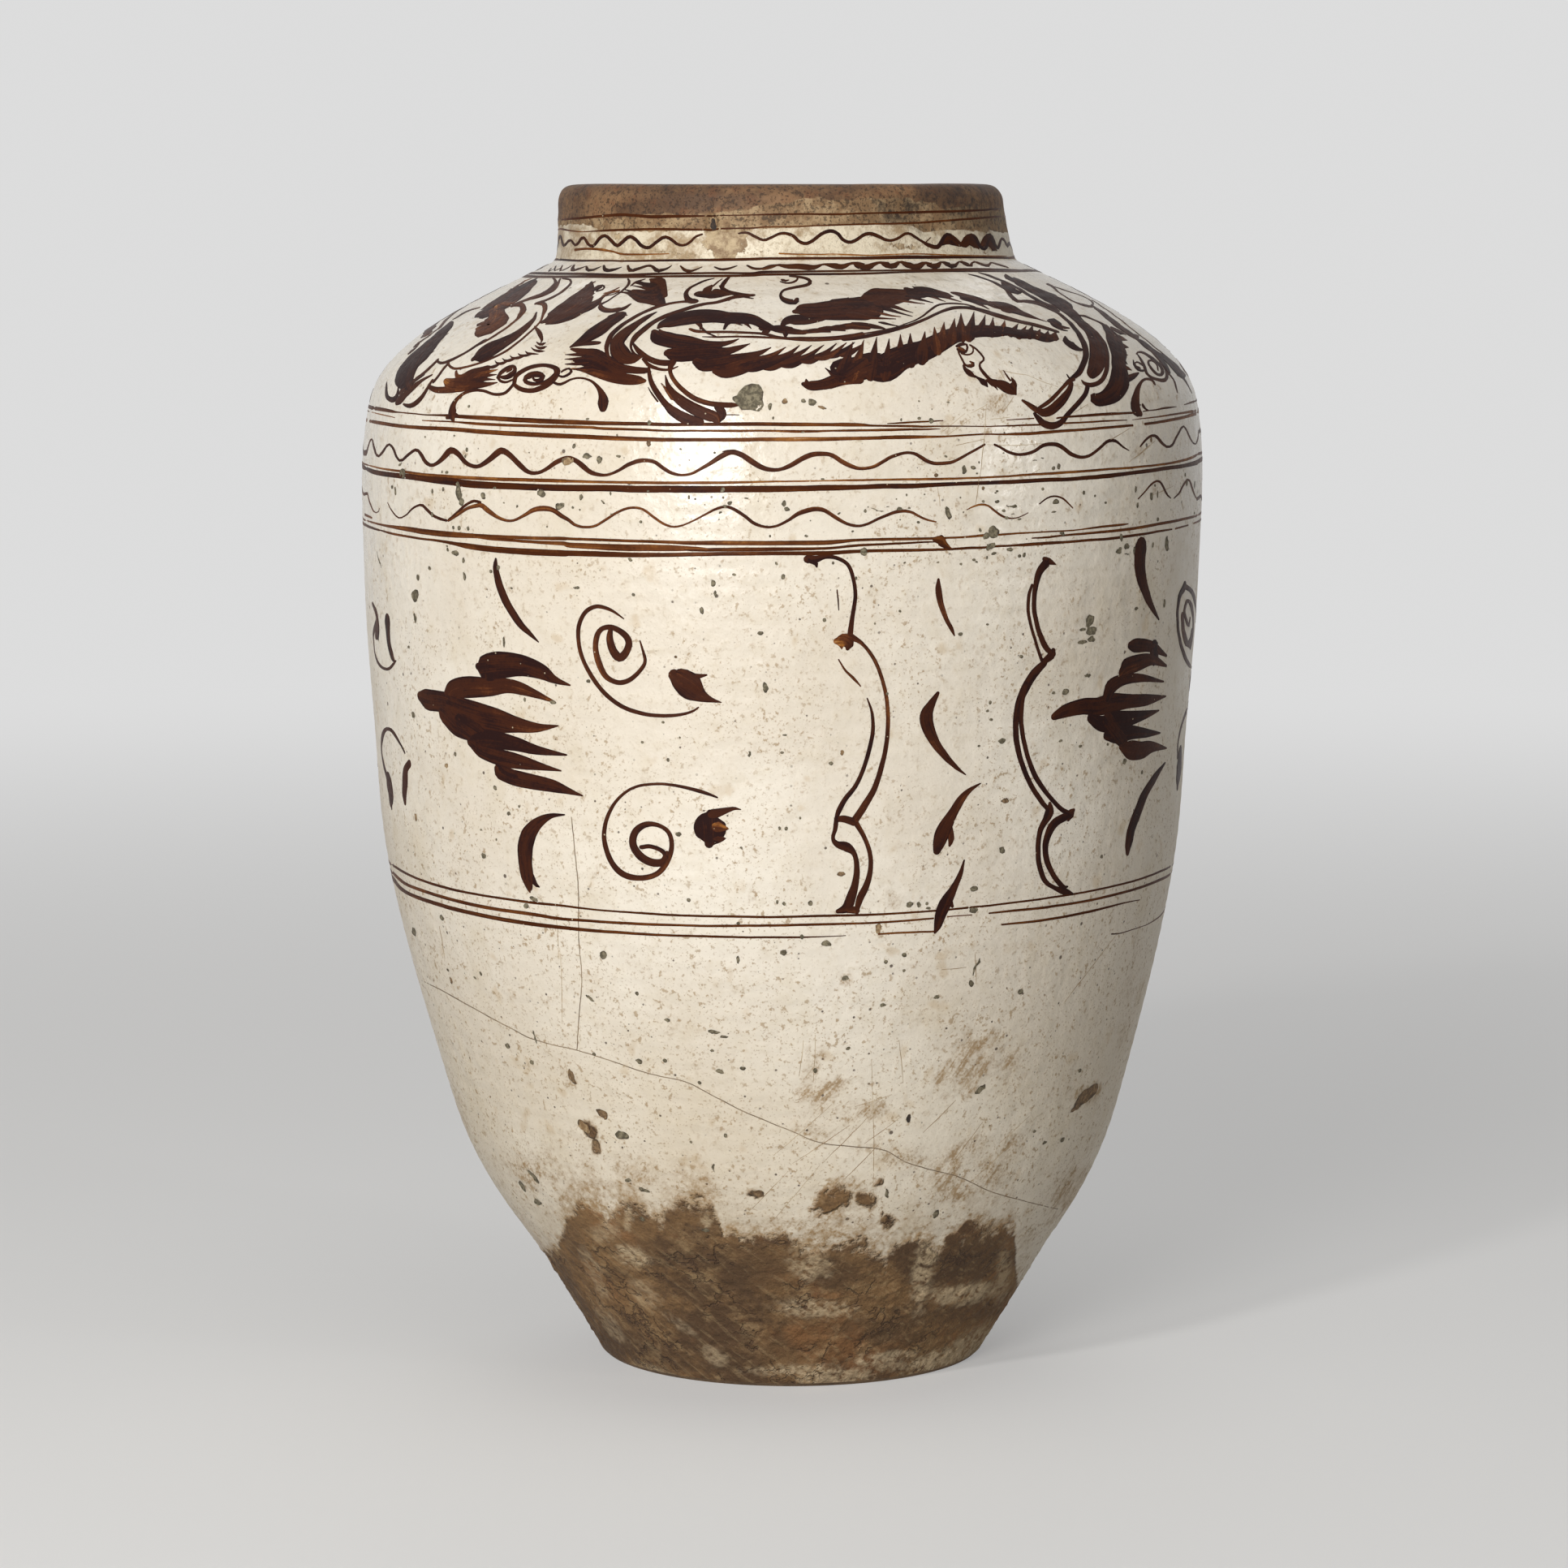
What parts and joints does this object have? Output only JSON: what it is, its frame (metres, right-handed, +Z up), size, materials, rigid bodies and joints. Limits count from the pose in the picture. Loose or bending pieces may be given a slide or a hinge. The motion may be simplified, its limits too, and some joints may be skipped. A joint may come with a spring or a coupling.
{
  "type": "storage jar",
  "caption": "Tall stoneware storage jar with a broad shoulder, short thick neck, open mouth and flaring foot, luted together from a base disc and turned wall sections.",
  "frame": {"origin": "centre of the foot ring's underside, on the surface the jar stands on", "axes": "+Z up through the mouth; -Y towards the side that the picture shows"},
  "size_m": [0.457, 0.457, 0.64],
  "materials": {
    "bare_base_clay": "unglazed, rough and dusty",
    "worn_foot_clay": "worn white slip over brown clay, matt",
    "white_slip_glaze": "white slip under a thin clear glaze, pitted, with iron-brown brushwork",
    "scorched_neck_clay": "scorched brown lip over white slip, satin"
  },
  "bodies": {
    "root": {"base_disc": "bare_base_clay", "foot_wall": "worn_foot_clay", "lower_wall": "white_slip_glaze", "upper_wall": "white_slip_glaze", "shoulder": "white_slip_glaze", "neck_ring": "scorched_neck_clay"}
  },
  "joints": []
}
